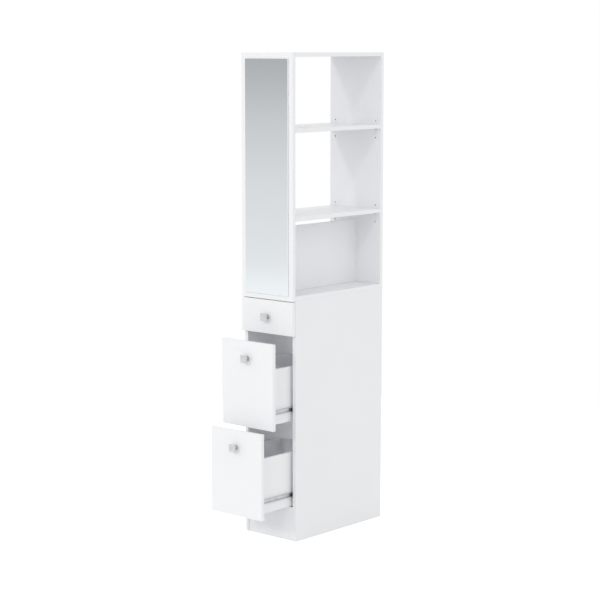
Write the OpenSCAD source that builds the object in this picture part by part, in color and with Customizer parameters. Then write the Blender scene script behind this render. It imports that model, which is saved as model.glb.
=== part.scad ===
// Tall, narrow bathroom tower of white coated board. Its front upright carries a mirror over three
// drawers, and its upper half is an open shelf unit that is reached from the two long sides.
// X runs along the narrow front, Y from the front back to the wall, Z up. The origin is the middle
// of the bottom edge of the back, where floor and wall meet, so the whole tower stands at Y < 0.

/* [Tower] */
// Overall height
height = 1810; // [1650:5:2200]
// Overall width of the narrow front
width = 253; // [230:1:400]
// Depth of the carcass, from the wall to the front edges of the side panels
depth = 508; // [440:1:650]
// Thickness of the carcass boards and of the drawer fronts
board_t = 15; // [15:1:19]
// Height of the plinth
plinth_h = 115; // [75:5:125]
// How far the plinth stands back from the front edges of the side panels
plinth_recess = 3; // [0:1:40]
// How far the rear edges of the side panels and the bottom panel stand in front of the wall
rear_inset = 1.5; // [0:0.5:3]
// Radius of the softened edges of every board
arris = 0.8; // [0.2:0.1:1.5]

/* [Open shelves] */
// Height of the lower shelf's middle hole row above the top of the cabinet
lower_row_up = 272; // [240:0.5:330]
// Height of the upper shelf's middle hole row above the lower shelf's
upper_row_up = 322.5; // [250:0.5:350]
// Distance between two rows of shelf-pin holes
row_pitch = 32; // [20:1:40]
// Rows of spare holes above the middle row, and as many below it
spare_rows = 1; // [0:1:3]
// Distance of each column of shelf-pin holes from the edge of the upright
column_inset = 25.5; // [15:0.5:60]
// Diameter of a shelf pin in its hole
pin_d = 5; // [3:0.5:8]
// Depth of a shelf-pin hole
pin_hole_depth = 9; // [6:0.5:11]
// Radius of the head of a shelf pin, which the shelf lies on
pin_head_r = 4; // [3:0.5:6]
// Length of the head of a shelf pin, under the shelf
pin_head_l = 8; // [5:0.5:15]
// Play between the ends of a shelf and the uprights
shelf_play = 0.5; // [0.2:0.1:2]
// Gap between the lower shelf and the brace that stands on the cabinet between the uprights
brace_gap = 31.5; // [5:0.5:120]
// Thickness of the brace
brace_t = 12; // [12:0.5:19]

/* [Mirror] */
// Thickness of the mirror glass
mirror_t = 3; // [2:0.5:6]
// Width of the bare border on each side of the mirror
mirror_side_margin = 21.5; // [5:0.5:60]
// Width of the bare border above the mirror
mirror_top_margin = 21; // [5:0.5:80]
// Width of the bare border below the mirror
mirror_bottom_margin = 19; // [5:0.5:80]
// Polished bevel round the edge of the glass
mirror_bevel = 0.6; // [0.2:0.1:1]
// Thickness of the foam pads that hold the mirror
pad_t = 1; // [0.5:0.5:3]

/* [Drawer fronts] */
// Height of the front of the small top drawer
small_front_h = 126; // [110:0.5:150]
// Height of the front of each of the two tall drawers
tall_front_h = 321; // [260:1:330]
// How far the front upright hangs below the top surface of the cabinet
upright_lap = 18; // [15:0.5:30]
// Gap between the front upright and the front of the top drawer
upright_gap = 2.5; // [1:0.5:5]
// Gap between the fronts of the two tall drawers
front_gap = 2; // [1:0.5:5]
// Wider gap under the small drawer
wide_gap = 17; // [2:0.5:20]
// Height of the lowest front, which covers the edge of the bottom panel, above the plinth
sill_gap = 1; // [1:0.5:5]
// Gap between a closed drawer front and the side panels
front_clear = 1; // [0.8:0.1:3]

/* [Drawer boxes] */
// How far the small top drawer stands open
open_top = 0; // [0:1:250]
// How far the middle drawer stands open
open_middle = 109; // [0:1:250]
// How far the bottom drawer stands open
open_bottom = 172; // [0:1:250]
// Thickness of the sides and the back of a drawer box
box_t = 12; // [12:1:16]
// Height of the sides of the small drawer
small_side_h = 80; // [70:1:90]
// Height of the sides of a tall drawer
tall_side_h = 206; // [120:1:220]
// Gap between the bottom panel and the lowest drawer box
box_clear = 3; // [1:0.5:6]
// Thickness of the drawer bottom
bottom_t = 3; // [2:0.5:5]
// Height of the groove for the bottom above the bottom edge of the box
groove_up = 10; // [6:1:16]
// Depth of the groove for the bottom
groove_depth = 6; // [4:0.5:8]
// Play of the bottom in its groove
groove_play = 0.2; // [0.1:0.1:0.5]

/* [Runners] */
// Space between a drawer box and the side panel, which the runner fills
runner_gap = 10; // [10:0.1:13]
// Length of the runners and of the drawer boxes on them
runner_l = 350; // [300:5:450]
// Height of the runner's middle above the bottom edge of a tall box
tall_runner_up = 46; // [30:1:80]
// Height of the runner's middle above the bottom edge of the small box
small_runner_up = 40; // [25:1:50]
// Thickness of the steel of the cabinet channel
channel_t = 1.2; // [1:0.1:1.5]
// Thickness of the steel of the drawer rail
rail_t = 1; // [0.8:0.1:1.2]
// Diameter of the bearing balls
ball_d = 4.5; // [3.5:0.1:4.6]
// Play of a ball in its races
ball_play = 0.15; // [0.1:0.01:0.2]
// Distance of each row of balls from the middle of the runner
ball_row = 10.05; // [9:0.05:12]
// Distance between two balls of a row
ball_pitch = 13; // [8:0.5:16]
// Balls in each row of a cage
ball_count = 6; // [3:1:8]
// Thickness of the ball cage
cage_t = 0.7; // [0.5:0.1:0.7]

/* [Knobs] */
// Side of the square head of a knob
knob_w = 28; // [20:1:40]
// Thickness of the head
knob_t = 8; // [4:0.5:12]
// Corner radius of the head
knob_corner = 3; // [1:0.5:6]
// How far a knob stands out from its drawer front
knob_reach = 24; // [18:0.5:32]
// Diameter of the neck behind the head
neck_d = 14; // [9:0.5:18]
// Height of each tall drawer's knob below the top edge of its front
knob_drop = 63; // [30:1:120]

/* [Fasteners] */
// Diameter of a cam lock
cam_d = 15; // [12:1:15]
// Distance of the middle of a cam lock from the joint
cam_reach = 34; // [24:1:34]
// Diameter of a cam bolt
bolt_d = 6; // [5:0.5:7]
// Diameter of the threaded end of a cam bolt
bolt_thread_d = 5; // [4:0.5:6]
// Length of the threaded end of a cam bolt
bolt_thread_l = 9; // [6:0.5:10]
// Diameter of a wooden dowel
dowel_d = 8; // [6:1:8]
// Length of a wooden dowel
dowel_l = 30; // [20:1:35]
// Play round each fastener in its hole
fastener_play = 0.1; // [0.05:0.01:0.2]

/* [Hidden] */
$fn = 48;
eps = 0.01;
inner_x = width / 2 - board_t;
back_y = -board_t;
rear_y = -rear_inset;
front_y = -depth;
upright_face_y = front_y - board_t;
front_back_y = front_y - front_clear;
column_x = width / 2 - column_inset;
box_x = inner_x - runner_gap;
box_l = runner_l;
groove_w = bottom_t + groove_play;

drawers = ["top_drawer", "middle_drawer", "bottom_drawer"];
open_now = [open_top, open_middle, open_bottom];
front_h = [small_front_h, tall_front_h, tall_front_h];
side_h = [small_side_h, tall_side_h, tall_side_h];
runner_up = [small_runner_up, tall_runner_up, tall_runner_up];
bottom_front_z = plinth_h + sill_gap;
middle_front_z = bottom_front_z + tall_front_h + front_gap;
top_front_z = middle_front_z + tall_front_h + wide_gap;
front_z = [top_front_z, middle_front_z, bottom_front_z];
upright_bottom = top_front_z + small_front_h + upright_gap;
cabinet_h = upright_bottom + upright_lap;
knob_z = [
    front_z[0] + small_front_h / 2,
    front_z[1] + tall_front_h - knob_drop,
    front_z[2] + tall_front_h - knob_drop
];
box_lift = board_t - sill_gap + box_clear; // from the bottom edge of a front to that of its box
box_z = [for (i = [0:2]) front_z[i] + box_lift];
runner_z = [for (i = [0:2]) box_z[i] + runner_up[i]];
lower_row_z = cabinet_h + lower_row_up;
rows = [lower_row_z, lower_row_z + upper_row_up];
shelf_undersides = [for (z = rows) z + pin_head_r];
brace_h = lower_row_up + pin_head_r - brace_gap;

// The section of a runner: u from the side panel towards the drawer box, v up from its middle
race_r = ball_d / 2 + ball_play;
ball_u = channel_t + race_r;
race_end = 44; // how far round the balls the race of the rail curls, in degrees below level
arm_u = ball_u + race_r * cos(race_end);
arm_top_v = ball_row - race_r * sin(race_end);
channel_front_y = front_y + 2;
rail_front_y = front_back_y + 1;
stop_l = 8;
stop_front_y = front_y - 0.6;
stop_half_h = arm_top_v - rail_t - 1.2;
cage_margin = 7.5; // from the outer balls to the ends of their cage
cage_l = (ball_count - 1) * ball_pitch + 2 * cage_margin;
cage_half_h = ball_row + 0.6;
cage_u = channel_t + 0.4;
cage_hole_r = sqrt(pow(ball_d / 2, 2) - pow(ball_u - cage_u - cage_t, 2)) + 0.15;
travel = runner_l - cage_l - 10; // the cage never leaves the channel or the rail
cage_front_y = stop_front_y + stop_l + 0.6 + travel / 2;
screw_d = 3.5;
screw_l = 11;
screw_head_d = 6.5;
first_screw_y = 48; // from the front end of a channel to its first screw
screw_step = (runner_l - first_screw_y - 46) / 2;
screw_ys = [for (k = [0:2]) first_screw_y + k * screw_step];
slot_w = 4.2;
slot_run = 8; // between the two round ends of a slot
slot_ys = [for (k = [0, 1]) first_screw_y + (k + 0.5) * screw_step];
back_screw_l = 30;
back_screw_head_d = 7;

cam_inset = 46.5; // from the edges of a panel to its cam locks
box_cam_reach = 24; // the same distance as cam_reach, in a drawer side
dowel_step = 32; // from a cam lock to the dowel beside it
dowel_in = dowel_l / 2 - 3; // how much of a dowel lies in the board across the joint
plinth_joint_z = (plinth_h - dowel_step) / 2;

// A joint: the panel that holds the cam lock, the board that holds the bolt's thread, the point on
// the joint, the rotation that points the bolt into the panel, and the dowel's side step.
cam_x = width / 2 - cam_inset;
cam_y = [front_y + cam_inset, back_y - cam_inset];
top_mid = height - board_t / 2;
cabinet_mid = cabinet_h - board_t / 2;
floor_mid = plinth_h + board_t / 2;
plinth_y = front_y + plinth_recess + board_t / 2;
joints = concat(
    [for (s = [-1, 1]) ["top_panel", "front_upright", [s * cam_x, front_y, top_mid], [0, 0, 90], s]],
    [for (s = [-1, 1]) ["top_panel", "rear_upright", [s * cam_x, back_y, top_mid], [0, 0, -90], -s]],
    [for (s = [-1, 1])
        ["cabinet_top", "front_upright", [s * cam_x, front_y, cabinet_mid], [180, 0, 90], -s]],
    [for (s = [-1, 1])
        ["rear_upright", "cabinet_top", [s * cam_x, back_y / 2, cabinet_h], [0, -90, -90], -s]],
    [for (s = [-1, 1]) for (k = [0, 1])
        [side_panel_name(s), "cabinet_top",
            [s * (inner_x + board_t / 2), cam_y[k], cabinet_h - board_t],
            [s < 0 ? 0 : 180, 90, 0], s * (2 * k - 1)]],
    [for (s = [-1, 1]) for (k = [0, 1])
        ["bottom_panel", side_panel_name(s),
            [s * inner_x, cam_y[k] - (2 * k - 1) * dowel_step * 2, floor_mid],
            [180, 0, s < 0 ? 0 : 180], s * (2 * k - 1)]],
    [for (s = [-1, 1]) ["plinth", side_panel_name(s), [s * inner_x, plinth_y, plinth_joint_z],
        [s * 90, 0, s < 0 ? 0 : 180], s]],
    [for (s = [-1, 1]) ["rear_plinth", side_panel_name(s), [s * inner_x, back_y / 2, plinth_joint_z],
        [-s * 90, 0, s < 0 ? 0 : 180], -s]]
);

function is_shown(name) = node == "all" || node == name;
function drawer_part(i, part) = str(drawers[i], "_", part);
function side_name(s) = s < 0 ? "left" : "right";
function side_panel_name(s) = str("side_panel_", side_name(s));

NODES = concat(
    ["rear_upright", "front_upright", "side_panel_left", "side_panel_right", "cabinet_top",
     "bottom_panel", "plinth", "rear_plinth", "top_panel", "shelf_upper", "shelf_lower",
     "brace_panel", "shelf_pins", "mirror_glass", "mirror_pads", "cam_locks", "cam_bolts",
     "dowels", "runner_stops", "channel_screws"],
    [for (i = [0:2]) for (part = ["front", "side_left", "side_right", "back", "bottom", "knob",
        "fixings", "channel_left", "channel_right", "rail_left", "rail_right", "ball_cages",
        "balls"]) drawer_part(i, part)]
);
node = "all";

white = [0.95, 0.95, 0.96];
steel = [0.74, 0.75, 0.77];
wood = [0.82, 0.68, 0.48];

// A rectangle from the origin whose four corners are softened
module softened(a, b, r) {
    translate([r, 0]) square([a - 2 * r, b]);
    translate([0, r]) square([a, b - 2 * r]);
    for (x = [r, a - r]) for (y = [r, b - r]) translate([x, y]) circle(r);
}

// A drawing of Y and Z drawn out along X
module along_x(x0, x1) {
    translate([x0, 0, 0]) rotate([90, 0, 90]) linear_extrude(x1 - x0) children();
}

// A drawing of X and Z drawn out along Y
module along_y(y0, y1) {
    translate([0, y1, 0]) rotate([90, 0, 0]) linear_extrude(y1 - y0) children();
}

module section_x(lo, hi, r) {
    along_x(lo.x, hi.x) translate([lo.y, lo.z]) softened(hi.y - lo.y, hi.z - lo.z, r);
}

module section_y(lo, hi, r) {
    along_y(lo.y, hi.y) translate([lo.x, lo.z]) softened(hi.x - lo.x, hi.z - lo.z, r);
}

module section_z(lo, hi, r) {
    translate(lo) linear_extrude(hi.z - lo.z) softened(hi.x - lo.x, hi.y - lo.y, r);
}

// A board between two corners, with every edge of its two faces softened
module board(lo, hi, r = arris) {
    size = hi - lo;
    if (size.x <= min(size.y, size.z)) intersection() {
        section_y(lo, hi, r);
        section_z(lo, hi, r);
    }
    else if (size.y <= size.z) intersection() {
        section_x(lo, hi, r);
        section_z(lo, hi, r);
    }
    else intersection() {
        section_x(lo, hi, r);
        section_y(lo, hi, r);
    }
}

// A board that stands on the floor: its lower edge is cut square
module standing_board(lo, hi) {
    below = 2 * arris;
    difference() {
        board([lo.x, lo.y, lo.z - below], hi);
        translate([lo.x - 1, lo.y - 1, lo.z - below - 1])
            cube([hi.x - lo.x + 2, hi.y - lo.y + 2, below + 1]);
    }
}

// A pin along +X from the origin
module rod(d, l) {
    rotate([0, 90, 0]) cylinder(d = d, h = l);
}

module at_joint(j) {
    translate(j[2]) rotate(j[3]) children();
}

// What a panel loses for a cam lock in it: the round pocket, the bolt's bore and half a dowel
module cam_drilling(t, reach, step) {
    translate([reach, 0, t / 2 - (t - 2.5)]) cylinder(d = cam_d, h = t);
    translate([-eps, 0, 0]) rod(bolt_d + 2 * fastener_play, reach);
    if (step != 0) translate([-eps, step * dowel_step, 0]) rod(dowel_d, dowel_l - dowel_in - 2);
}

// What the other board loses: the hole of the bolt's thread and the other half of the dowel
module bolt_drilling(step) {
    translate([-bolt_thread_l - 1, 0, 0]) rod(bolt_thread_d, bolt_thread_l + 1 + eps);
    if (step != 0) translate([-dowel_in, step * dowel_step, 0]) rod(dowel_d, dowel_in + eps);
}

module joint_drilling(name) {
    for (j = joints) {
        if (j[0] == name) at_joint(j) cam_drilling(board_t, cam_reach, j[4]);
        if (j[1] == name) at_joint(j) bolt_drilling(j[4]);
    }
}

// A cam lock lying in a panel of thickness t, bored for its bolt, with a crossed driver slot
module cam_lock(t, reach) {
    deep = t - 2.5;
    translate([reach, 0, t / 2 - deep]) difference() {
        cylinder(d = cam_d - 2 * fastener_play, h = deep - 0.4);
        translate([-cam_d, 0, deep - t / 2]) rod(bolt_d + 2 * fastener_play, cam_d + bolt_d / 2);
        for (turn = [0, 90]) rotate([0, 0, turn])
            translate([-3.5, -0.6, deep - 1.6]) cube([7, 1.2, 2]);
    }
}

// A cam bolt: its threaded end goes back from the joint, its waisted head reaches into the cam
module cam_bolt(reach) {
    shaft = reach - 1;
    rotate([0, 90, 0]) rotate_extrude() polygon([
        [0, -bolt_thread_l], [bolt_thread_d / 2 - fastener_play, -bolt_thread_l + 1],
        [bolt_thread_d / 2 - fastener_play, 0], [bolt_d / 2, 0.5], [bolt_d / 2, shaft - 6],
        [bolt_d / 3, shaft - 5], [bolt_d / 3, shaft - 2.5], [bolt_d / 2, shaft - 2],
        [bolt_d / 2, shaft - 0.5], [bolt_d / 2 - 0.5, shaft], [0, shaft]
    ]);
}

module dowel() {
    r = dowel_d / 2 - fastener_play;
    l = dowel_l - 2.4;
    translate([-dowel_in + 0.2, 0, 0]) rotate([0, 90, 0]) rotate_extrude() polygon([
        [0, 0], [r - 1, 0], [r, 1], [r, l - 1], [r - 1, l], [0, l]
    ]);
}

// A countersunk screw along +X, its flat head flush with X = 0
module flat_screw(d, l, head_d) {
    head_l = (head_d - d) / 2;
    rotate([0, 90, 0]) rotate_extrude() polygon([
        [0, 0.6], [1, 0.6], [1.4, 0], [head_d / 2, 0], [d / 2, head_l], [d / 2, l - d],
        [0.2, l], [0, l]
    ]);
}

// The hole that a countersunk screw needs
module flat_screw_hole(d, l, head_d) {
    wide = head_d / 2 + fastener_play;
    rotate([0, 90, 0]) rotate_extrude() polygon([
        [0, -eps], [wide, -eps], [d / 2 + fastener_play, wide - d / 2],
        [d / 2 + fastener_play, l + 0.5], [0, l + 0.5]
    ]);
}

module pin_holes(y, out) {
    for (z = rows) for (k = [-spare_rows:spare_rows]) for (s = [-1, 1])
        translate([s * column_x, y, z + k * row_pitch]) rotate([out * 90, 0, 0])
            translate([0, 0, -eps]) cylinder(d = pin_d, h = pin_hole_depth + eps);
}

module rear_upright() {
    color(white) difference() {
        board([-width / 2, back_y, cabinet_h], [width / 2, 0, height]);
        pin_holes(back_y, -1);
        joint_drilling("rear_upright");
        brace_drilling(back_y, 0);
    }
}

module front_upright() {
    color(white) difference() {
        board([-width / 2, upright_face_y, upright_bottom], [width / 2, front_y, height]);
        pin_holes(front_y, 1);
        joint_drilling("front_upright");
        brace_drilling(front_y, 1);
    }
}

module side_panel(s) {
    x0 = s < 0 ? -width / 2 : inner_x;
    color(white) difference() {
        standing_board([x0, front_y, 0], [x0 + board_t, rear_y, cabinet_h - board_t]);
        joint_drilling(side_panel_name(s));
        for (i = [0:2]) channel_screw_places(i, s) flat_screw_hole(screw_d, screw_l, screw_head_d);
    }
}

// The cabinet top lies on the side panels, and both uprights are fixed to it
module cabinet_top() {
    color(white) difference() {
        board([-width / 2, front_y, cabinet_h - board_t], [width / 2, 0, cabinet_h]);
        joint_drilling("cabinet_top");
    }
}

module bottom_panel() {
    color(white) difference() {
        board([-inner_x, front_y, plinth_h], [inner_x, rear_y, plinth_h + board_t]);
        joint_drilling("bottom_panel");
    }
}

module plinth() {
    y = front_y + plinth_recess;
    color(white) difference() {
        standing_board([-inner_x, y, 0], [inner_x, y + board_t, plinth_h]);
        joint_drilling("plinth");
    }
}

// A second plinth carries the back of the bottom panel, flush with the rear upright
module rear_plinth() {
    color(white) difference() {
        standing_board([-inner_x, back_y, 0], [inner_x, 0, plinth_h]);
        joint_drilling("rear_plinth");
    }
}

module top_panel() {
    color(white) difference() {
        board([-width / 2, front_y, height - board_t], [width / 2, back_y, height]);
        joint_drilling("top_panel");
    }
}

module shelf(k) {
    z = shelf_undersides[k];
    color(white)
        board([-width / 2, front_y + shelf_play, z], [width / 2, back_y - shelf_play, z + board_t]);
}

// The brace stands on the cabinet and is dowelled to both uprights, two dowels at each end
module brace_dowel_places(y, turn) {
    for (z = [brace_h / 4, 3 * brace_h / 4])
        translate([0, y, cabinet_h + z]) rotate([0, 0, turn]) children();
}

module brace_drilling(y, at_front) {
    brace_dowel_places(y, at_front == 1 ? -90 : 90)
        translate([-eps, 0, 0]) rod(dowel_d, dowel_in + eps);
}

module brace_panel() {
    color(white) difference() {
        board([-brace_t / 2, front_y, cabinet_h], [brace_t / 2, back_y, cabinet_h + brace_h]);
        brace_dowel_places(front_y, 90) translate([-eps, 0, 0]) rod(dowel_d, dowel_l - dowel_in - 2);
        brace_dowel_places(back_y, -90) translate([-eps, 0, 0]) rod(dowel_d, dowel_l - dowel_in - 2);
    }
}

// A shelf pin along +Z out of its hole: shank, thin collar against the upright, and round head
module shelf_pin() {
    rotate_extrude() polygon([
        [0, -pin_hole_depth + 1], [pin_d / 2 - 0.6, -pin_hole_depth + 1],
        [pin_d / 2 - fastener_play, -pin_hole_depth + 1.6], [pin_d / 2 - fastener_play, 0],
        [pin_head_r, 0], [pin_head_r, pin_head_l - 0.8], [pin_head_r - 0.8, pin_head_l],
        [0, pin_head_l]
    ]);
}

module shelf_pins() {
    color(steel) for (z = rows) for (s = [-1, 1]) {
        translate([s * column_x, front_y, z]) rotate([-90, 0, 0]) shelf_pin();
        translate([s * column_x, back_y, z]) rotate([90, 0, 0]) shelf_pin();
    }
}

module cam_locks() {
    color("silver") for (j = joints) at_joint(j) cam_lock(board_t, cam_reach);
}

module cam_bolts() {
    color("silver") for (j = joints) at_joint(j) cam_bolt(cam_reach);
}

module dowels() {
    color(wood) {
        for (j = joints) at_joint(j) translate([0, j[4] * dowel_step, 0]) dowel();
        brace_dowel_places(front_y, 90) dowel();
        brace_dowel_places(back_y, -90) dowel();
    }
}

mirror_w = width - 2 * mirror_side_margin;
mirror_lo_z = upright_bottom + mirror_bottom_margin;
mirror_hi_z = height - mirror_top_margin;

module mirror_glass() {
    back = upright_face_y - pad_t;
    color([0.78, 0.81, 0.84]) board([-mirror_w / 2, back - mirror_t, mirror_lo_z],
        [mirror_w / 2, back, mirror_hi_z], mirror_bevel);
}

module mirror_pads() {
    pad = [30, pad_t, 90];
    span = mirror_hi_z - mirror_lo_z - 2 * pad.z;
    color("lightgray") for (s = [-1, 1]) for (k = [0:3])
        translate([s * mirror_w / 4 - pad.x / 2, upright_face_y - pad_t,
                   mirror_lo_z + pad.z / 2 + k * span / 3]) cube(pad);
}

// A place on the inner face of side panel s, where +X points from the panel towards the drawer
module at_runner(i, s) {
    translate([s * inner_x, 0, runner_z[i]]) mirror([s > 0 ? 1 : 0, 0, 0]) children();
}

// A slice of a ring round the origin, from angle a to angle b
module ring_slice(r0, r1, a, b) {
    far = 2 * r1;
    steps = 8;
    intersection() {
        difference() {
            circle(r1);
            circle(r0);
        }
        polygon(concat([[0, 0]],
            [for (k = [0:steps]) far * [cos(a + (b - a) * k / steps), sin(a + (b - a) * k / steps)]]));
    }
}

// The cabinet channel: a flat web whose edges curl over the two rows of balls
module channel_section() {
    translate([0, -ball_row]) square([channel_t, 2 * ball_row]);
    for (side = [0, 1]) mirror([0, side]) translate([ball_u, ball_row])
        ring_slice(race_r, race_r + channel_t, -15, 180);
}

// The drawer rail: a web on the drawer box, two arms, and races that curl under the balls
module rail_section() {
    translate([runner_gap - rail_t, -arm_top_v]) square([rail_t, 2 * arm_top_v]);
    for (side = [0, 1]) mirror([0, side]) {
        translate([arm_u, arm_top_v - rail_t]) square([runner_gap - arm_u, rail_t]);
        translate([ball_u, ball_row]) ring_slice(race_r, race_r + rail_t, -105, -race_end);
    }
}

module channel_screw_places(i, s) {
    for (y = screw_ys) at_runner(i, s) translate([channel_t, channel_front_y + y, 0])
        mirror([1, 0, 0]) children();
}

module rail_screw_places(i, s) {
    for (y = screw_ys) at_runner(i, s)
        translate([runner_gap - rail_t, rail_front_y + y - open_now[i], 0]) children();
}

// Long holes between the screws, by which a runner is set true, through a web that starts at u
module web_slots(front_end_y, u, t) {
    for (y = slot_ys) translate([u - 0.5, front_end_y + y - slot_run / 2, 0]) {
        for (end = [0, slot_run]) translate([0, end, 0]) rod(slot_w, t + 1);
        translate([0, 0, -slot_w / 2]) cube([t + 1, slot_run, slot_w]);
    }
}

module channel(i, s) {
    tab = 1.2;
    end_y = channel_front_y + runner_l;
    color(steel) difference() {
        at_runner(i, s) {
            along_y(channel_front_y, end_y) channel_section();
            translate([eps, end_y - tab, -5]) cube([runner_gap - 2.5, tab, 10]);
        }
        channel_screw_places(i, s) flat_screw_hole(screw_d, screw_l, screw_head_d);
        at_runner(i, s) web_slots(channel_front_y, 0, channel_t);
    }
}

module rail(i, s) {
    y = rail_front_y - open_now[i];
    color(steel) difference() {
        at_runner(i, s) along_y(y, y + runner_l - 4) rail_section();
        rail_screw_places(i, s) flat_screw_hole(screw_d, screw_l, screw_head_d);
        at_runner(i, s) web_slots(y, runner_gap - rail_t, rail_t);
    }
}

module channel_screws() {
    color("silver") for (i = [0:2]) for (s = [-1, 1])
        channel_screw_places(i, s) flat_screw(screw_d, screw_l, screw_head_d);
}

// Black plastic stops at the front ends of the channels, between the arms of the rails
module runner_stops() {
    stop_w = runner_gap - rail_t - 0.4 - channel_t;
    color([0.12, 0.12, 0.13]) for (i = [0:2]) for (s = [-1, 1]) at_runner(i, s)
        translate([channel_t, stop_front_y, -stop_half_h])
            board([0, 0, 0], [stop_w, stop_l, 2 * stop_half_h], 0.8);
}

function cage_y(i) = cage_front_y - open_now[i] / 2;
function ball_y(i, k) = cage_y(i) + cage_margin + k * ball_pitch;

module ball_cages(i) {
    color("silver") for (s = [-1, 1]) at_runner(i, s) difference() {
        translate([cage_u, cage_y(i), -cage_half_h]) cube([cage_t, cage_l, 2 * cage_half_h]);
        for (k = [0:ball_count - 1]) for (v = [-ball_row, ball_row])
            translate([cage_u - 1, ball_y(i, k), v]) rod(2 * cage_hole_r, cage_t + 2);
        for (k = [0.5:ball_count - 1]) translate([cage_u - 1, ball_y(i, k), 0]) rod(6, cage_t + 2);
    }
}

module balls(i) {
    color("silver") for (s = [-1, 1]) at_runner(i, s)
        for (k = [0:ball_count - 1]) for (v = [-ball_row, ball_row])
            translate([ball_u, ball_y(i, k), v]) sphere(d = ball_d);
}

// The cam locks that tie the box sides to the front: their heights in box i
function front_cam_z(i) = side_h[i] < 120 ? [0.6 * side_h[i]] : [0.38 * side_h[i], 0.82 * side_h[i]];
back_screw_z = [0.35, 0.8];

module at_drawer(i) {
    translate([0, -open_now[i], 0]) children();
}

module front_cam_places(i) {
    for (s = [-1, 1]) for (z = front_cam_z(i))
        translate([s * (box_x - box_t / 2), front_back_y, box_z[i] + z])
            rotate([0, 0, 90]) rotate([-s * 90, 0, 0]) children();
}

module back_screw_places(i) {
    for (s = [-1, 1]) for (z = back_screw_z)
        translate([s * box_x, front_back_y + box_l - box_t / 2, box_z[i] + z * side_h[i]])
            mirror([s > 0 ? 1 : 0, 0, 0]) children();
}

module bottom_groove(i) {
    x = box_x - box_t + groove_depth;
    translate([-x, front_back_y - groove_depth, box_z[i] + groove_up])
        cube([2 * x, groove_depth + box_l + 1, groove_w]);
}

module drawer_front(i) {
    color(white) at_drawer(i) difference() {
        board([-width / 2, front_back_y - board_t, front_z[i]],
              [width / 2, front_back_y, front_z[i] + front_h[i]]);
        bottom_groove(i);
        front_cam_places(i) bolt_drilling(0);
        translate([0, front_back_y - board_t - 1, knob_z[i]]) rotate([-90, 0, 0])
            cylinder(d = 4.5, h = board_t + 2);
    }
}

module drawer_side(i, s) {
    x0 = s < 0 ? -box_x : box_x - box_t;
    color(white) difference() {
        at_drawer(i) difference() {
            board([x0, front_back_y, box_z[i]],
                  [x0 + box_t, front_back_y + box_l, box_z[i] + side_h[i]]);
            bottom_groove(i);
            front_cam_places(i) cam_drilling(box_t, box_cam_reach, 0);
            back_screw_places(i) flat_screw_hole(screw_d, back_screw_l, back_screw_head_d);
        }
        rail_screw_places(i, s) flat_screw_hole(screw_d, screw_l, screw_head_d);
    }
}

module drawer_back(i) {
    x = box_x - box_t;
    color(white) at_drawer(i) difference() {
        board([-x, front_back_y + box_l - box_t, box_z[i] + groove_up + groove_w],
              [x, front_back_y + box_l, box_z[i] + side_h[i]]);
        back_screw_places(i) flat_screw_hole(screw_d, back_screw_l, back_screw_head_d);
    }
}

module drawer_bottom(i) {
    x = box_x - box_t + groove_depth - 0.5;
    color([0.93, 0.93, 0.93]) at_drawer(i)
        translate([-x, front_back_y - groove_depth + 0.5, box_z[i] + groove_up])
            cube([2 * x, groove_depth - 0.5 + box_l, bottom_t]);
}

// Square knob: a softened head on a round neck that spreads into a thin foot
module knob(i) {
    thread_l = 11;
    half = knob_w / 2;
    color(steel) at_drawer(i) translate([0, front_back_y - board_t, knob_z[i]]) difference() {
        union() {
            intersection() {
                along_y(-knob_reach, -knob_reach + knob_t) translate([-half, -half])
                    softened(knob_w, knob_w, knob_corner);
                along_x(-half, half) translate([-knob_reach, -half])
                    softened(knob_t, knob_w, 1.2);
                translate([-half, -knob_reach, -half]) linear_extrude(knob_w)
                    softened(knob_w, knob_t, 1.2);
            }
            rotate([90, 0, 0]) rotate_extrude() polygon([
                [0, 0], [neck_d / 2 + 2, 0], [neck_d / 2 + 2, 1.2], [neck_d / 2 + 1, 2],
                [neck_d / 2 - 1.5, 5], [neck_d / 2 - 1.5, knob_reach - knob_t - 3],
                [neck_d / 2 + 1, knob_reach - knob_t + 0.5], [0, knob_reach - knob_t + 0.5]
            ]);
        }
        rotate([90, 0, 0]) translate([0, 0, -eps]) cylinder(d = 4.1, h = thread_l);
    }
}

// Knob screw, rail screws, back screws, and the cam locks and bolts of the front
module fixings(i) {
    color("silver") {
        at_drawer(i) {
            translate([0, front_back_y, knob_z[i]]) rotate([90, 0, 0]) rotate_extrude() polygon([
                [0, -2.4], [3, -2.4], [4, -1.4], [4, 0], [2, 0], [2, board_t + 9.5], [1.5, board_t + 10],
                [0, board_t + 10]
            ]);
            front_cam_places(i) {
                cam_lock(box_t, box_cam_reach);
                cam_bolt(box_cam_reach);
            }
            back_screw_places(i) flat_screw(screw_d, back_screw_l, back_screw_head_d);
        }
        for (s = [-1, 1]) rail_screw_places(i, s) flat_screw(screw_d, screw_l, screw_head_d);
    }
}

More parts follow.
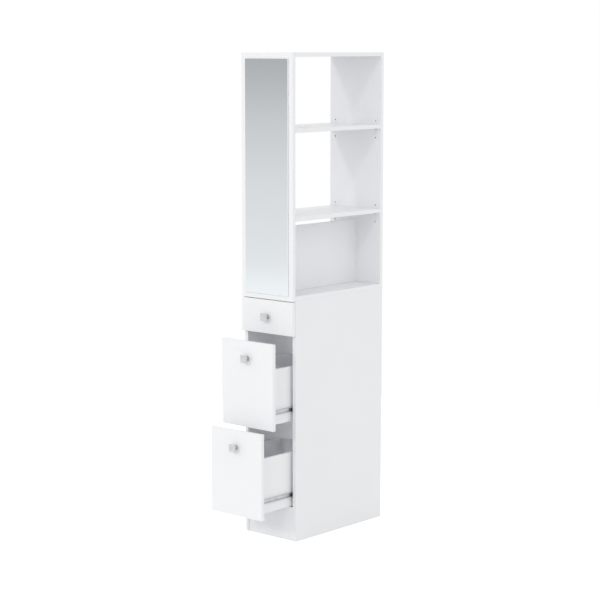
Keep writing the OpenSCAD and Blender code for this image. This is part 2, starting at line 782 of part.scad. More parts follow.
if (is_shown("rear_upright")) rear_upright();
if (is_shown("front_upright")) front_upright();
if (is_shown("side_panel_left")) side_panel(-1);
if (is_shown("side_panel_right")) side_panel(1);
if (is_shown("cabinet_top")) cabinet_top();
if (is_shown("bottom_panel")) bottom_panel();
if (is_shown("plinth")) plinth();
if (is_shown("rear_plinth")) rear_plinth();
if (is_shown("top_panel")) top_panel();
if (is_shown("shelf_lower")) shelf(0);
if (is_shown("shelf_upper")) shelf(1);
if (is_shown("brace_panel")) brace_panel();
if (is_shown("shelf_pins")) shelf_pins();
if (is_shown("mirror_glass")) mirror_glass();
if (is_shown("mirror_pads")) mirror_pads();
if (is_shown("cam_locks")) cam_locks();
if (is_shown("cam_bolts")) cam_bolts();
if (is_shown("dowels")) dowels();
if (is_shown("runner_stops")) runner_stops();
if (is_shown("channel_screws")) channel_screws();
for (i = [0:2]) {
    if (is_shown(drawer_part(i, "front"))) drawer_front(i);
    if (is_shown(drawer_part(i, "back"))) drawer_back(i);
    if (is_shown(drawer_part(i, "bottom"))) drawer_bottom(i);
    if (is_shown(drawer_part(i, "knob"))) knob(i);
    if (is_shown(drawer_part(i, "fixings"))) fixings(i);
    if (is_shown(drawer_part(i, "ball_cages"))) ball_cages(i);
    if (is_shown(drawer_part(i, "balls"))) balls(i);
    for (s = [-1, 1]) {
        if (is_shown(drawer_part(i, str("side_", side_name(s))))) drawer_side(i, s);
        if (is_shown(drawer_part(i, str("channel_", side_name(s))))) channel(i, s);
        if (is_shown(drawer_part(i, str("rail_", side_name(s))))) rail(i, s);
    }
}
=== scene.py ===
import math

import bmesh
import bpy
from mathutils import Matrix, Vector


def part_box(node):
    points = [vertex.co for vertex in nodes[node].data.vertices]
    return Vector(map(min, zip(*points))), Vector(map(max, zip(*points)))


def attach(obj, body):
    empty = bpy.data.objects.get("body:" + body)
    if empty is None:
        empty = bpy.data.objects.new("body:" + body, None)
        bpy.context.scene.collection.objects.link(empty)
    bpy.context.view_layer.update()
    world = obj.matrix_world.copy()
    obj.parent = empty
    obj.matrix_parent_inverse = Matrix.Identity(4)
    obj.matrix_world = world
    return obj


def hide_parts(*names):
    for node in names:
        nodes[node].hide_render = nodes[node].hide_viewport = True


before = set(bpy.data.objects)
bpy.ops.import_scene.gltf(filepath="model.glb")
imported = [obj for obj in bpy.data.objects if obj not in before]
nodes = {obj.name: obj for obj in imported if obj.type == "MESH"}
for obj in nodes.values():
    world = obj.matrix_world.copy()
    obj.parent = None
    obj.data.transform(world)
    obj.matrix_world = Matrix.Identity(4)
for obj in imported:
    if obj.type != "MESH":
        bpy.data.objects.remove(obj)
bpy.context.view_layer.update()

drawers = ["top_drawer", "middle_drawer", "bottom_drawer"]
mm = 0.001
print("frame loaded:", len(nodes), "nodes")


def addObject(name, data):
    made = bpy.data.objects.new(name, data)
    bpy.context.scene.collection.objects.link(made)
    return made


def newPiece(name, form):
    mesh = bpy.data.meshes.new(name)
    form.to_mesh(mesh)
    form.free()
    return addObject(name, mesh)


def midway(corners, axis):
    return (getattr(corners[0], axis) + getattr(corners[1], axis)) / 2


# Camera

photoCamera = {
    "place": (4.5209, -5.4950, 1.8358),  # just above the top of the tower
    "turn": 41.246,  # degrees from square on
    "tilt": 7.911,  # degrees below level
    "lens": 109.93,
}


def makeCamera(settings):
    data = bpy.data.cameras.new("photoCamera")
    data.lens = settings["lens"]
    camera = addObject("photoCamera", data)
    camera.location = settings["place"]
    camera.rotation_euler = (math.radians(90 - settings["tilt"]), 0, math.radians(settings["turn"]))
    bpy.context.scene.camera = camera


# Helpers for node trees, of materials and of Geometry Nodes alike

def addNode(tree, kind, values=None, links=None, **settings):
    made = tree.nodes.new(kind)
    for name, value in settings.items():
        setattr(made, name, value)
    for name, value in (values or {}).items():
        made.inputs[name].default_value = value
    for name, source in (links or {}).items():
        tree.links.new(source, made.inputs[name])
    return made


def combine(tree, kind, operation, *parts):
    made = tree.nodes.new(kind)
    made.operation = operation
    for socket, part in zip(made.inputs, parts):
        if isinstance(part, bpy.types.NodeSocket):
            tree.links.new(part, socket)
        else:
            socket.default_value = part
    return made.outputs[0]


def number(tree, operation, *parts):
    return combine(tree, "ShaderNodeMath", operation, *parts)


def vector(tree, operation, *parts):
    return combine(tree, "ShaderNodeVectorMath", operation, *parts)


def ramp(tree, source, low, high, toLow=0.0, toHigh=1.0):
    made = addNode(tree, "ShaderNodeMapRange", {"From Min": low, "From Max": high,
                   "To Min": toLow, "To Max": toHigh}, {"Value": source})
    return made.outputs["Result"]


def blendColours(tree, factor, first, second):
    made = addNode(tree, "ShaderNodeMix", data_type="RGBA")
    for name, part in (("Factor", factor), ("A", first), ("B", second)):
        socket = next(s for s in made.inputs if s.name == name and s.enabled)
        if isinstance(part, bpy.types.NodeSocket):
            tree.links.new(part, socket)
        else:
            socket.default_value = part if name == "Factor" else (*part, 1)
    return next(s for s in made.outputs if s.enabled)


def newMaterial(name, metallic=0.0, roughness=0.5):
    material = bpy.data.materials.new(name)
    material.use_nodes = True
    shader = material.node_tree.nodes["Principled BSDF"]
    shader.inputs["Metallic"].default_value = metallic
    shader.inputs["Roughness"].default_value = roughness
    return material, material.node_tree, shader


def objectPlace(tree, stretch=(1, 1, 1)):
    place = addNode(tree, "ShaderNodeTexCoord").outputs["Object"]
    if tuple(stretch) == (1, 1, 1):
        return place
    return addNode(tree, "ShaderNodeMapping", {"Scale": stretch}, {"Vector": place}).outputs["Vector"]


def grain(tree, size, detail=2.0, stretch=(1, 1, 1)):
    made = addNode(tree, "ShaderNodeTexNoise", {"Scale": 1 / size, "Detail": detail},
                   {"Vector": objectPlace(tree, stretch)})
    return made.outputs["Fac"]


def bump(tree, shader, height, depth):
    made = addNode(tree, "ShaderNodeBump", {"Strength": 1.0, "Distance": depth}, {"Height": height})
    tree.links.new(made.outputs["Normal"], shader.inputs["Normal"])


# Studio: a plain pale floor, an even room and two lamps in front of the tower

studio = {
    # Light of the room by the sine of the height above the horizon, as parts of the peak
    "roomPeak": 1.24,
    "roomLight": [(-1.0, 0.69), (-0.04, 0.69), (0.04, 0.79), (0.31, 0.79), (0.39, 1.0), (0.66, 1.0),
                  (0.74, 0.63), (1.0, 0.63)],
    # What shiny faces mirror of it: in front of the tower by height, and behind it left and right
    "mirrored": [(-0.167, 0.92), (-0.149, 1.0), (-0.13, 0.92), (-0.117, 0.82), (-0.108, 0.795),
                 (-0.0745, 0.73), (-0.0407, 0.615), (-0.0183, 0.50), (-0.004, 0.44), (0.5, 0.8), (1.0, 0.9)],
    "mirroredBehindLeft": (1.1, 1.1, 1.1),
    "mirroredBehindRight": (0.85, 0.85, 0.85),
    "sidesMeet": 0.2,  # half the width of the change from left to right, as a sine
    "frontMeets": 0.1,  # and of that from front to back
    "floorRadius": 2.4,
    "floorSides": 96,
    "floorDrop": 0.5 * mm,  # below the tower's feet
    "floorColour": (0.87, 0.87, 0.87),
    "floorLift": 0.7,  # what the camera sees on top of the lit floor
    "lampSoftness": 6,  # degrees across
    "lamps": {  # degrees from straight ahead to the right, and above the horizon
        "leftLamp": {"aside": -13.5, "up": 23.5, "strength": 0.31},
        "rightLamp": {"aside": 20, "up": 27.5, "strength": 0.205},
    },
}


def shadeByHeight(tree, height, stops):
    low, high = stops[0][0], stops[-1][0]
    shade = addNode(tree, "ShaderNodeValToRGB", links={"Fac": ramp(tree, height, low, high)})
    steps = shade.color_ramp.elements
    for i, (rise, grey) in enumerate(stops):
        at = (rise - low) / (high - low)
        step = steps[i] if i < 2 else steps.new(at)
        step.position = at
        step.color = (grey, grey, grey, 1)
    return shade.outputs["Color"]


def makeRoom(settings):
    world = bpy.data.worlds.new("room")
    bpy.context.scene.world = world
    world.use_nodes = True
    tree = world.node_tree
    tree.nodes.clear()
    rays = addNode(tree, "ShaderNodeLightPath").outputs
    direction = addNode(tree, "ShaderNodeTexCoord").outputs["Generated"]
    way = addNode(tree, "ShaderNodeSeparateXYZ", links={"Vector": direction}).outputs
    even = addNode(tree, "ShaderNodeBackground", {"Strength": settings["roomPeak"]},
                   {"Color": shadeByHeight(tree, way["Z"], settings["roomLight"])})
    inFront = shadeByHeight(tree, way["Z"], settings["mirrored"])
    toRight = ramp(tree, way["X"], -settings["sidesMeet"], settings["sidesMeet"])
    behind = blendColours(tree, toRight, settings["mirroredBehindLeft"], settings["mirroredBehindRight"])
    toBack = ramp(tree, way["Y"], -settings["frontMeets"], settings["frontMeets"])
    around = blendColours(tree, toBack, inFront, behind)
    mirrored = addNode(tree, "ShaderNodeBackground", links={"Color": around})
    white = addNode(tree, "ShaderNodeBackground", {"Color": (1, 1, 1, 1)})
    seen = number(tree, "MAXIMUM", rays["Is Camera Ray"], rays["Is Transmission Ray"])
    first = addNode(tree, "ShaderNodeMixShader", links={0: rays["Is Glossy Ray"],
                    1: even.outputs[0], 2: mirrored.outputs[0]})
    second = addNode(tree, "ShaderNodeMixShader", links={0: seen, 1: first.outputs[0], 2: white.outputs[0]})
    addNode(tree, "ShaderNodeOutputWorld", links={"Surface": second.outputs[0]})


def makeFloor(settings):
    form = bmesh.new()
    bmesh.ops.create_circle(form, cap_ends=True, segments=settings["floorSides"],
                            radius=settings["floorRadius"])
    floor = newPiece("floor", form)
    floor.location.z = -settings["floorDrop"]
    material, tree, shader = newMaterial("paleFloor")
    tree.nodes.remove(shader)
    rays = addNode(tree, "ShaderNodeLightPath").outputs
    seen = number(tree, "MAXIMUM", rays["Is Camera Ray"], rays["Is Transmission Ray"])
    matt = addNode(tree, "ShaderNodeBsdfDiffuse", {"Color": (*settings["floorColour"], 1)})
    lift = addNode(tree, "ShaderNodeEmission", {"Color": (1, 1, 1, 1)},
                   {"Strength": number(tree, "MULTIPLY", seen, settings["floorLift"])})
    both = addNode(tree, "ShaderNodeAddShader", links={0: matt.outputs[0], 1: lift.outputs[0]})
    tree.links.new(both.outputs[0], tree.nodes["Material Output"].inputs["Surface"])
    floor.data.materials.append(material)


def makeLamps(settings):
    for name, lamp in settings["lamps"].items():
        data = bpy.data.lights.new(name, "SUN")
        data.energy = lamp["strength"]
        data.angle = math.radians(settings["lampSoftness"])
        aside, up = math.radians(lamp["aside"]), math.radians(lamp["up"])
        towards = Vector((math.sin(aside) * math.cos(up), -math.cos(aside) * math.cos(up), math.sin(up)))
        addObject(name, data).rotation_euler = towards.to_track_quat("Z", "Y").to_euler()


makeCamera(photoCamera)
makeRoom(studio)
makeFloor(studio)
makeLamps(studio)
bpy.context.scene.view_settings.view_transform = "Standard"
bpy.context.scene.cycles.diffuse_bounces = 12  # the drawers' insides live on light that bounces often
print("camera, room, floor and lamps")


# Coated boards: white foil on both faces, an edge band all round, bare chipboard inside the bores

whiteBoard = {
    "colour": (0.833, 0.84, 0.855),
    "cloud": (0.823, 0.83, 0.845),  # faint drift of the foil's tone
    "cloudSize": 310 * mm,
    "cloudRange": (0.35, 0.65),  # of the noise, which seldom leaves it
    "roughness": (0.40, 0.50),
    "roughSize": 22 * mm,
    "roughRange": (0.3, 0.7),
    "pearlSize": 1.3 * mm,
    "pearlDepth": 0.03 * mm,
    "bandThickness": 0.8 * mm,
    "bandColour": (0.835, 0.84, 0.852),
    "seamWidth": 0.12 * mm,
    "seamColour": (0.62, 0.61, 0.59),
    "seamDip": 0.8,  # of the pearl's depth
    "foilThickness": 0.35 * mm,
    "core": (0.20, 0.175, 0.15),
    "coreChip": (0.31, 0.275, 0.24),
    "chipSize": 1.6 * mm,
    "chipRange": (0.4, 0.6),
    "coreRoughness": 0.85,
}
farOff = 10.0  # metres, past any edge of a board


def makeEdgeGroup():
    tree = bpy.data.node_groups.new("boardDistances", "ShaderNodeTree")
    for label in ("Low", "High", "Through"):
        tree.interface.new_socket(label, in_out="INPUT", socket_type="NodeSocketVector")
    for label in ("From Edge", "From Face"):
        tree.interface.new_socket(label, in_out="OUTPUT", socket_type="NodeSocketFloat")
    given = addNode(tree, "NodeGroupInput").outputs
    place = objectPlace(tree)
    nearest = vector(tree, "MINIMUM", vector(tree, "SUBTRACT", place, given["Low"]),
                     vector(tree, "SUBTRACT", given["High"], place))
    found = []
    for only in (vector(tree, "ADD", nearest, given["Through"]),
                 vector(tree, "SUBTRACT", vector(tree, "ADD", nearest, (farOff,) * 3), given["Through"])):
        parts = addNode(tree, "ShaderNodeSeparateXYZ", links={"Vector": only}).outputs
        found.append(number(tree, "MINIMUM", number(tree, "MINIMUM", parts[0], parts[1]), parts[2]))
    addNode(tree, "NodeGroupOutput", links={"From Edge": found[0], "From Face": found[1]})
    return tree


edgeGroup = makeEdgeGroup()


def edgeDistances(tree, name):
    low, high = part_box(name)
    size = high - low
    through = tuple(farOff if s == min(size) else 0.0 for s in size)  # along the thin way
    made = addNode(tree, "ShaderNodeGroup", node_tree=edgeGroup)
    for label, value in (("Low", low), ("High", high), ("Through", through)):
        made.inputs[label].default_value = value
    return made.outputs["From Edge"], made.outputs["From Face"]


def boardMaterial(name, settings):
    material, tree, shader = newMaterial("whiteBoard_" + name)
    fromEdge, fromFace = edgeDistances(tree, name)
    cloudy = ramp(tree, grain(tree, settings["cloudSize"]), *settings["cloudRange"])
    foil = blendColours(tree, cloudy, settings["colour"], settings["cloud"])
    onBand = number(tree, "LESS_THAN", fromEdge, settings["bandThickness"])
    coat = blendColours(tree, onBand, foil, settings["bandColour"])
    offSeam = number(tree, "ABSOLUTE", number(tree, "SUBTRACT", fromEdge, settings["bandThickness"]))
    seam = ramp(tree, offSeam, settings["seamWidth"], 0.0)
    coat = blendColours(tree, seam, coat, settings["seamColour"])
    chipped = ramp(tree, grain(tree, settings["chipSize"], detail=3), *settings["chipRange"])
    chips = blendColours(tree, chipped, settings["core"], settings["coreChip"])
    inside = number(tree, "MULTIPLY", number(tree, "GREATER_THAN", fromEdge, settings["bandThickness"]),
                    number(tree, "GREATER_THAN", fromFace, settings["foilThickness"]))
    tree.links.new(blendColours(tree, inside, coat, chips), shader.inputs["Base Color"])
    satin = ramp(tree, grain(tree, settings["roughSize"]), *settings["roughRange"], *settings["roughness"])
    raw = number(tree, "MULTIPLY", inside, settings["coreRoughness"])
    tree.links.new(number(tree, "MAXIMUM", satin, raw), shader.inputs["Roughness"])
    height = number(tree, "SUBTRACT", grain(tree, settings["pearlSize"]),
                    number(tree, "MULTIPLY", seam, settings["seamDip"]))
    bump(tree, shader, height, settings["pearlDepth"])
    return material


# Drawer bottoms of thin hardboard: white on both faces, brown fibres at the edges, a screen mark below

hardboard = {
    "paint": (0.825, 0.83, 0.845),
    "cloud": (0.805, 0.81, 0.825),
    "cloudSize": 60 * mm,
    "roughness": 0.55,
    "bare": (0.24, 0.145, 0.08),
    "bareLight": (0.33, 0.21, 0.125),
    "fibreSize": 2.5 * mm,
    "fibreStretch": (1, 0.3, 1),
    "paintThickness": 0.3 * mm,
    "screenPitch": 1.4 * mm,
    "pearlSize": 1.1 * mm,
    "reliefDepth": 0.06 * mm,
}


def hardboardMaterial(name, settings):
    material, tree, shader = newMaterial("hardboard_" + name, roughness=settings["roughness"])
    fromEdge, fromFace = edgeDistances(tree, name)
    parts = addNode(tree, "ShaderNodeSeparateXYZ", links={"Vector": objectPlace(tree)}).outputs
    middle = midway(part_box(name), "z")
    painted = number(tree, "LESS_THAN", fromFace, settings["paintThickness"])
    fibrous = grain(tree, settings["fibreSize"], detail=4, stretch=settings["fibreStretch"])
    fibres = blendColours(tree, fibrous, settings["bare"], settings["bareLight"])
    coat = blendColours(tree, grain(tree, settings["cloudSize"]), settings["paint"], settings["cloud"])
    tree.links.new(blendColours(tree, painted, fibres, coat), shader.inputs["Base Color"])
    turn = 2 * math.pi / settings["screenPitch"]
    waves = [number(tree, "SINE", number(tree, "MULTIPLY", parts[axis], turn)) for axis in ("X", "Y")]
    below = number(tree, "LESS_THAN", parts["Z"], middle)
    screen = number(tree, "MULTIPLY", number(tree, "ADD", *waves), below)
    relief = number(tree, "ADD", screen, grain(tree, settings["pearlSize"]))
    bump(tree, shader, relief, settings["reliefDepth"])
    return material


# Mirror: silver seen through the glass, a polished edge, and paint on its back

mirror = {
    "silver": (0.912, 0.953, 0.984),
    "roughness": 0.015,
    "edge": (0.95, 0.97, 0.97),
    "edgeWidth": 0.62 * mm,
    "edgeRoughness": 0.08,
    "backPaint": (0.30, 0.31, 0.33),
    "backDepth": 0.25 * mm,
    "backRoughness": 0.55,
}


def mirrorMaterial(name, settings):
    material, tree, shader = newMaterial("mirrorGlass")
    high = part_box(name)[1]
    fromEdge = edgeDistances(tree, name)[0]
    depth = addNode(tree, "ShaderNodeSeparateXYZ", links={"Vector": objectPlace(tree)}).outputs["Y"]
    onEdge = number(tree, "LESS_THAN", fromEdge, settings["edgeWidth"])
    onBack = number(tree, "GREATER_THAN", depth, high.y - settings["backDepth"])
    colour = blendColours(tree, onEdge, settings["silver"], settings["edge"])
    tree.links.new(blendColours(tree, onBack, colour, settings["backPaint"]), shader.inputs["Base Color"])
    matt = number(tree, "MAXIMUM", number(tree, "MULTIPLY", onEdge, settings["edgeRoughness"]),
                  number(tree, "MULTIPLY", onBack, settings["backRoughness"]))
    tree.links.new(number(tree, "MAXIMUM", matt, settings["roughness"]), shader.inputs["Roughness"])
    plain = number(tree, "MAXIMUM", onEdge, onBack)
    tree.links.new(number(tree, "SUBTRACT", 1.0, plain), shader.inputs["Metallic"])
    return material


# Metals, plastic, foam and beech

metals = {
    "knobMetal": {"colour": (0.72, 0.725, 0.735), "roughness": (0.36, 0.46), "metallic": 0.5,
                  "stretch": (1, 1, 0.04), "size": 0.35 * mm, "depth": 0.004 * mm},
    # the knob's metal made darker for the neck: painted shade, standing for the shadow behind the head
    "neckPaintedShadeMetal": {"colour": (0.46, 0.465, 0.475), "roughness": (0.30, 0.40), "metallic": 0.8,
                  "stretch": (1, 1, 0.04), "size": 0.35 * mm, "depth": 0.004 * mm},
    "runnerSteel": {"colour": (0.72, 0.73, 0.75), "roughness": (0.28, 0.42),
                    "stretch": (1, 0.02, 1), "size": 0.6 * mm, "depth": 0.004 * mm},
    "ballSteel": {"colour": (0.80, 0.81, 0.83), "roughness": (0.05, 0.10),
                  "size": 1.5 * mm, "depth": 0.001 * mm},
    "camZinc": {"colour": (0.62, 0.62, 0.64), "roughness": (0.42, 0.58),
                "size": 0.7 * mm, "depth": 0.02 * mm},
    "pinSteel": {"colour": (0.74, 0.745, 0.77), "roughness": (0.20, 0.30),
                 "size": 0.9 * mm, "depth": 0.004 * mm},
    "screwZinc": {"colour": (0.70, 0.71, 0.74), "roughness": (0.24, 0.38),
                  "size": 0.8 * mm, "depth": 0.006 * mm},
}
tarnish = {"size": 14 * mm, "range": (0.35, 0.65), "shade": 0.9,
           "roughRange": (0.75, 1.25)}  # of this noise and the metal's own together


def metalMaterial(name, settings):
    material, tree, shader = newMaterial(name, metallic=settings.get("metallic", 1.0))
    fine = grain(tree, settings["size"], 3, settings.get("stretch", (1, 1, 1)))
    blotch = grain(tree, tarnish["size"])
    worn = tuple(tarnish["shade"] * c for c in settings["colour"])
    tree.links.new(blendColours(tree, ramp(tree, blotch, *tarnish["range"]), settings["colour"], worn),
                   shader.inputs["Base Color"])
    rough = ramp(tree, number(tree, "ADD", fine, blotch), *tarnish["roughRange"], *settings["roughness"])
    tree.links.new(rough, shader.inputs["Roughness"])
    bump(tree, shader, fine, settings["depth"])
    return material


softs = {
    "blackPlastic": {"colour": (0.022, 0.022, 0.024), "second": (0.03, 0.03, 0.032), "roughness": 0.45,
                     "size": 0.8 * mm, "depth": 0.02 * mm},
    "foamPad": {"colour": (0.70, 0.70, 0.69), "second": (0.56, 0.56, 0.55), "roughness": 0.95,
                "size": 0.9 * mm, "depth": 0.12 * mm},
    "beech": {"colour": (0.68, 0.49, 0.30), "second": (0.52, 0.35, 0.20), "roughness": 0.7,
              "stretch": (1, 0.12, 1), "size": 1.8 * mm, "depth": 0.05 * mm},
}
speckRange = (0.4, 0.6)


def softMaterial(name, settings):
    material, tree, shader = newMaterial(name, roughness=settings["roughness"])
    fine = grain(tree, settings["size"], 4, settings.get("stretch", (1, 1, 1)))
    tree.links.new(blendColours(tree, ramp(tree, fine, *speckRange), settings["colour"], settings["second"]),
                   shader.inputs["Base Color"])
    bump(tree, shader, fine, settings["depth"])
    return material


metal = {name: metalMaterial(name, settings) for name, settings in metals.items()}
soft = {name: softMaterial(name, settings) for name, settings in softs.items()}
finishes = {
    "knob_metal": metal["knobMetal"], "runner_steel": metal["runnerSteel"],
    "ball_steel": metal["ballSteel"], "cam_zinc": metal["camZinc"], "pin_steel": metal["pinSteel"],
    "black_plastic": soft["blackPlastic"], "foam_pad": soft["foamPad"], "dowel_wood": soft["beech"],
}


def finishNodes():
    for name, piece in nodes.items():
        for place in piece.material_slots:
            slot = place.material.name
            if slot == "white_board":
                place.material = boardMaterial(name, whiteBoard)
            elif slot == "hardboard":
                place.material = hardboardMaterial(name, hardboard)
            elif slot == "mirror_glass":
                place.material = mirrorMaterial(name, mirror)
            else:
                place.material = finishes[slot]


finishNodes()
print("finishes on", len(nodes), "nodes")


# Fasteners: half outlines as (radius, height) in millimetres, spun round Z, with Z out of the wood

crossHead = {
    "length": 0.52, "width": 0.12,  # as parts of the head's width
    "taper": 0.72, "depth": 1.5,  # how much is left at the bottom, and millimetres down to it
}
pinRadius = 4  # in the outline of the shelf pin, which the shelf lies on
forms = {
    "runnerScrew": {"outline": [(0, -11), (0.3, -11), (1.75, -7.5), (1.75, -1.5), (3.1, -0.12),
                                (3.25, -0.05), (3.2, 0), (0, 0)], "head": 6.5},
    "backScrew": {"outline": [(0, -30), (0.3, -30), (1.75, -26.5), (1.75, -1.75), (3.35, -0.12),
                              (3.5, -0.05), (3.45, 0), (0, 0)], "head": 7.0},
    "knobScrew": {"outline": [(0, -25), (1.5, -25), (2, -24.5), (2, 0), (4, 0), (4, 1.0), (3.6, 1.8),
                              (2.6, 2.3), (0, 2.4)], "head": 6.4},
    "shelfPin": {"outline": [(0, -8), (1.9, -8), (2.4, -7.4), (2.4, 0), (pinRadius, 0), (pinRadius, 7.2),
                             (3.75, 7.75), (3.2, 8), (0, 8)], "head": None},
    "camLock": {"outline": [(0, -9.5), (7.1, -9.5), (7.4, -9.2), (7.4, -0.7), (7.1, -0.4), (0, -0.4)],
                "head": 12.0},
    "camBolt": {"outline": [(0, -9), (2, -9), (2.4, -8), (2.4, 0), (3, 0.5), (3, 16), (2.6, 16.4), (0, 16.4)],
                "head": None},
}
runner = {
    "webThickness": 1.2 * mm, "railThickness": 1.0 * mm,
    "firstScrew": 48 * mm, "screwStep": 128 * mm, "screws": 3,
    "ballRow": 10.05 * mm, "ballIn": 3.6 * mm,  # from the middle, and from the side panel
    "balls": 6, "pitch": 13 * mm, "diameter": 4.5 * mm, "cageMargin": 7.5 * mm,
    "ballSegments": 24, "ballRings": 14,
}
drawerBox = {
    "camIn": 24 * mm, "tall": 120 * mm,
    "smallCams": [0.6], "tallCams": [0.38, 0.82], "backScrews": [0.35, 0.8],  # parts of the side's height
}
turnSides = 32
mergeWithin = 0.001 * mm
sharpFrom = math.radians(32)


def plainMesh(piece):
    made = bpy.data.meshes.new_from_object(piece.evaluated_get(bpy.context.evaluated_depsgraph_get()))
    piece.modifiers.clear()
    piece.data = made


def smooth(piece):
    piece.data.polygons.foreach_set("use_smooth", [True] * len(piece.data.polygons))
    piece.data.set_sharp_from_angle(angle=sharpFrom)


def cutCross(piece, top, width):
    for turned in (False, True):
        form = bmesh.new()
        bmesh.ops.create_cube(form, size=1)
        across, along = width * crossHead["length"], width * crossHead["width"]
        if turned:
            across, along = along, across
        for corner in form.verts:
            part = crossHead["taper"] if corner.co.z < 0 else 1
            corner.co = (corner.co.x * across * part * mm, corner.co.y * along * part * mm,
                         (2 * corner.co.z * crossHead["depth"] + top) * mm)
        tool = newPiece("cutter", form)
        cut = piece.modifiers.new("cross", "BOOLEAN")
        cut.object = tool
        plainMesh(piece)
        bpy.data.objects.remove(tool)


def turnedForm(name, outline, head, sides=turnSides):
    form = bmesh.new()
    ring = [form.verts.new((r * mm, 0, z * mm)) for r, z in outline]
    edges = [form.edges.new(pair) for pair in zip(ring, ring[1:])]
    bmesh.ops.spin(form, geom=ring + edges, cent=(0, 0, 0), axis=(0, 0, 1), angle=2 * math.pi, steps=sides)
    bmesh.ops.remove_doubles(form, verts=form.verts, dist=mergeWithin)
    bmesh.ops.recalc_face_normals(form, faces=form.faces)
    piece = newPiece(name, form)
    if head:
        cutCross(piece, outline[-1][1], head)
    return piece


def startTree(name, inputs):
    tree = bpy.data.node_groups.new(name, "GeometryNodeTree")
    tree.interface.new_socket("Geometry", in_out="OUTPUT", socket_type="NodeSocketGeometry")
    tree.interface.new_socket("Geometry", in_out="INPUT", socket_type="NodeSocketGeometry")
    for label, kind in inputs.items():
        tree.interface.new_socket(label, in_out="INPUT", socket_type="NodeSocket" + kind)
    return tree, addNode(tree, "NodeGroupInput").outputs


def endTree(tree, geometry, material):
    real = addNode(tree, "GeometryNodeRealizeInstances", links={"Geometry": geometry}).outputs[0]
    done = addNode(tree, "GeometryNodeSetMaterial", links={"Geometry": real, "Material": material})
    addNode(tree, "NodeGroupOutput", links={"Geometry": done.outputs[0]})
    return tree


def makeFastenerTree():
    tree, given = startTree("fastenersOnPoints", {"Form": "Object", "Most Turn": "Float", "Seed": "Int",
                                                  "Material": "Material"})
    form = addNode(tree, "GeometryNodeObjectInfo", links={"Object": given["Form"]}).outputs["Geometry"]
    aim = addNode(tree, "GeometryNodeInputNamedAttribute", {"Name": "aim"}, data_type="FLOAT_VECTOR")
    facing = addNode(tree, "FunctionNodeAlignRotationToVector", links={"Vector": aim.outputs[0]}, axis="Z")
    placed = addNode(tree, "GeometryNodeInstanceOnPoints", links={
        "Points": given["Geometry"], "Instance": form, "Rotation": facing.outputs[0]}).outputs[0]
    chance = addNode(tree, "FunctionNodeRandomValue", data_type="FLOAT")
    enabled = {s.name: s for s in chance.inputs if s.enabled}
    tree.links.new(given["Most Turn"], enabled["Max"])
    tree.links.new(given["Seed"], enabled["Seed"])
    amount = next(s for s in chance.outputs if s.enabled)
    turn = addNode(tree, "ShaderNodeCombineXYZ", links={"Z": amount}).outputs[0]
    turned = addNode(tree, "GeometryNodeRotateInstances", links={"Instances": placed, "Rotation": turn})
    return endTree(tree, turned.outputs[0], given["Material"])


def makeBallTree():
    tree, given = startTree("ballRows", {"Count": "Int", "Pitch": "Float", "Diameter": "Float",
                                         "Material": "Material"})
    step = addNode(tree, "ShaderNodeCombineXYZ", links={"Y": given["Pitch"]}).outputs[0]
    row = addNode(tree, "GeometryNodeMeshLine", links={"Count": given["Count"], "Offset": step}).outputs[0]
    ball = addNode(tree, "GeometryNodeMeshUVSphere",
                   {"Segments": runner["ballSegments"], "Rings": runner["ballRings"]},
                   {"Radius": number(tree, "DIVIDE", given["Diameter"], 2.0)}).outputs[0]
    balls = addNode(tree, "GeometryNodeInstanceOnPoints", links={"Points": row, "Instance": ball}).outputs[0]
    rows = addNode(tree, "GeometryNodeInstanceOnPoints", links={
        "Points": given["Geometry"], "Instance": balls}).outputs[0]
    return endTree(tree, rows, given["Material"])


def grow(name, places, tree, values, body, replaced):
    mesh = bpy.data.meshes.new(name + "Points")
    mesh.from_pydata([place for place, aim in places], [], [])
    aims = mesh.attributes.new("aim", "FLOAT_VECTOR", "POINT")
    for point, (place, aim) in zip(aims.data, places):
        point.vector = aim
    piece = addObject(name, mesh)
    rule = piece.modifiers.new("grow", "NODES")
    rule.node_group = tree
    for socket in tree.interface.items_tree:
        if socket.in_out == "INPUT" and socket.name in values:
            rule[socket.identifier] = values[socket.name]
    plainMesh(piece)
    smooth(piece)
    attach(piece, body)
    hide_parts(replaced)


def runnerSides(drawer):
    for side, s in (("left", -1), ("right", 1)):
        channel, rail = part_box(drawer + "_channel_" + side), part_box(drawer + "_rail_" + side)
        wall = channel[0].x if s < 0 else channel[1].x  # the side panel's inner face
        web = rail[1].x if s < 0 else rail[0].x  # the outer face of the drawer's side board
        yield s, wall, web, channel, rail, midway(channel, "z")


def screwRow(x, frontEnd, z, aim):
    first = frontEnd + runner["firstScrew"]
    return [((x, first + k * runner["screwStep"], z), aim) for k in range(runner["screws"])]


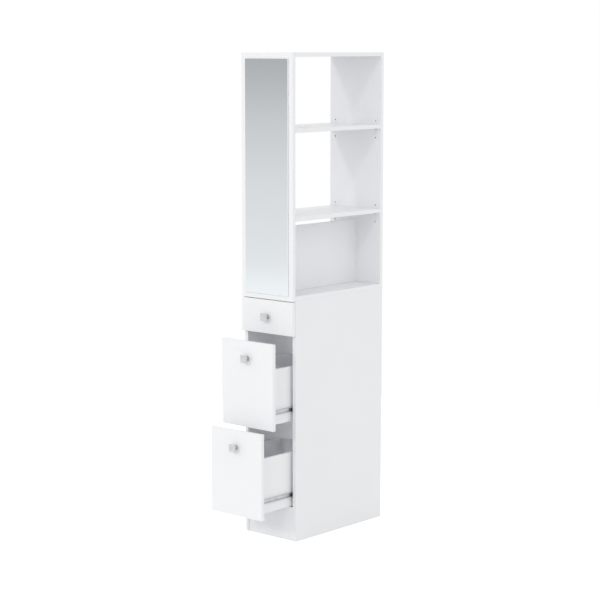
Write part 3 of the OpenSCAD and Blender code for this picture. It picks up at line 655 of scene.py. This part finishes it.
def makeFasteners():
    shape = {name: turnedForm(name, **form) for name, form in forms.items()}
    tree, ballRule = makeFastenerTree(), makeBallTree()
    seed = 0

    def put(name, kind, places, finish, body, replaced):
        nonlocal seed
        seed += 1
        values = {"Form": shape[kind], "Most Turn": math.pi, "Seed": seed, "Material": finish}
        grow(name, places, tree, values, body, replaced)

    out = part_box("shelf_pins")[1].x - pinRadius * mm
    pins = [((s * out, y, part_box(shelf)[0].z - pinRadius * mm), (0, way, 0))
            for shelf in ("shelf_upper", "shelf_lower") for s in (-1, 1)
            for y, way in ((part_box("rear_upright")[0].y, -1), (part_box("front_upright")[1].y, 1))]
    put("shelfPins", "shelfPin", pins, metal["pinSteel"], "carcass", "shelf_pins")

    channelScrews = []
    for drawer in drawers:
        railScrews, backScrews, rows, cams, bolts = [], [], [], [], []
        front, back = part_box(drawer + "_front"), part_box(drawer + "_back")
        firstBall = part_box(drawer + "_ball_cages")[0].y + runner["cageMargin"]
        backMiddle = midway(back, "y")
        for s, wall, web, channel, rail, z in runnerSides(drawer):
            channelScrews += screwRow(wall - s * runner["webThickness"], channel[0].y, z, (-s, 0, 0))
            railScrews += screwRow(web + s * runner["railThickness"], rail[0].y, z, (s, 0, 0))
            rows += [((wall - s * runner["ballIn"], firstBall, z + v * runner["ballRow"]), (0, 0, 1))
                     for v in (-1, 1)]
            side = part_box(drawer + ("_side_left" if s < 0 else "_side_right"))
            low, high = side
            tall = high.z - low.z
            outer, inner = (low.x, high.x) if s < 0 else (high.x, low.x)
            for part in drawerBox["backScrews"]:
                backScrews.append(((outer, backMiddle, low.z + part * tall), (s, 0, 0)))
            for part in drawerBox["tallCams"] if tall > drawerBox["tall"] else drawerBox["smallCams"]:
                cams.append(((inner, front[1].y + drawerBox["camIn"], low.z + part * tall), (-s, 0, 0)))
                bolts.append(((midway(side, "x"), front[1].y, low.z + part * tall), (0, 1, 0)))
        knobScrew = [((0, front[1].y, midway(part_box(drawer + "_knob"), "z")), (0, 1, 0))]
        name = drawer.replace("_d", "D")
        fixings = drawer + "_fixings"
        put(name + "RailScrews", "runnerScrew", railScrews, metal["screwZinc"], drawer, fixings)
        put(name + "BackScrews", "backScrew", backScrews, metal["screwZinc"], drawer, fixings)
        put(name + "KnobScrew", "knobScrew", knobScrew, metal["screwZinc"], drawer, fixings)
        put(name + "CamLocks", "camLock", cams, metal["camZinc"], drawer, fixings)
        put(name + "CamBolts", "camBolt", bolts, metal["camZinc"], drawer, fixings)
        grow(name + "Balls", rows, ballRule, {
            "Count": runner["balls"], "Pitch": runner["pitch"], "Diameter": runner["diameter"],
            "Material": metal["ballSteel"]}, drawer + "_cages", drawer + "_balls")
    put("channelScrews", "runnerScrew", channelScrews, metal["screwZinc"], "carcass",
        "channel_screws")
    for form in shape.values():
        bpy.data.objects.remove(form)


makeFasteners()
print("screws, pins, cams and balls")


# Square knobs: a softened head on a thick round neck, bored from behind for the knob screw; the neck gets a
# darker copy of the head's metal as painted shade

knob = {
    "thickness": 8, "corner": 3, "edge": 1.2,  # of the head, in millimetres
    "cornerSteps": 6, "edgeSteps": 4, "neckSides": 48,
    "neck": [(0, 11), (2.05, 11), (2.05, 0), (9.8, 0), (9.8, 1), (9.2, 1.8), (8.8, 3), (8.8, 13.6), (9.3, 15),
             (10.2, 16.4), (0, 16.4)],
}
tiny = 0.01 * mm


def climb(edge):
    return abs(edge.verts[0].co.z - edge.verts[1].co.z)


def knobHead(width, settings):
    form = bmesh.new()
    bmesh.ops.create_cube(form, size=1)
    bmesh.ops.scale(form, verts=form.verts, vec=(width, width, settings["thickness"] * mm))
    upright = [edge for edge in form.edges if climb(edge) > tiny]
    bmesh.ops.bevel(form, geom=upright, offset=settings["corner"] * mm, segments=settings["cornerSteps"],
                    profile=0.5, affect="EDGES")
    rims = [edge for edge in form.edges if climb(edge) < tiny]
    bmesh.ops.bevel(form, geom=rims, offset=settings["edge"] * mm, segments=settings["edgeSteps"],
                    profile=0.5, affect="EDGES")
    return newPiece("head", form)


def makeKnobs(settings):
    for drawer in drawers:
        low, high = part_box(drawer + "_knob")
        reach = (high.y - low.y) / mm
        name = drawer.replace("_d", "D") + "Knob"
        piece = turnedForm(name, settings["neck"], None, sides=settings["neckSides"])
        head = knobHead(high.x - low.x, settings)
        head.location.z = (reach - settings["thickness"] / 2) * mm
        joined = piece.modifiers.new("head", "BOOLEAN")
        joined.operation = "UNION"
        joined.object = head
        plainMesh(piece)
        bpy.data.objects.remove(head)
        for corner in piece.data.vertices:
            x, z, out = corner.co
            corner.co = (x, high.y - out, midway((low, high), "z") + z)
        piece.data.materials.clear()
        # faces behind the head take the darker metal, which paints the shade on the neck
        for finish in ("knobMetal", "neckPaintedShadeMetal"):
            piece.data.materials.append(metal[finish])
        headBack = low.y + settings["thickness"] * mm
        for face in piece.data.polygons:
            face.material_index = 1 if face.center.y > headBack + tiny else 0
        smooth(piece)
        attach(piece, drawer)
        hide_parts(drawer + "_knob")


makeKnobs(knob)
print("knobs")
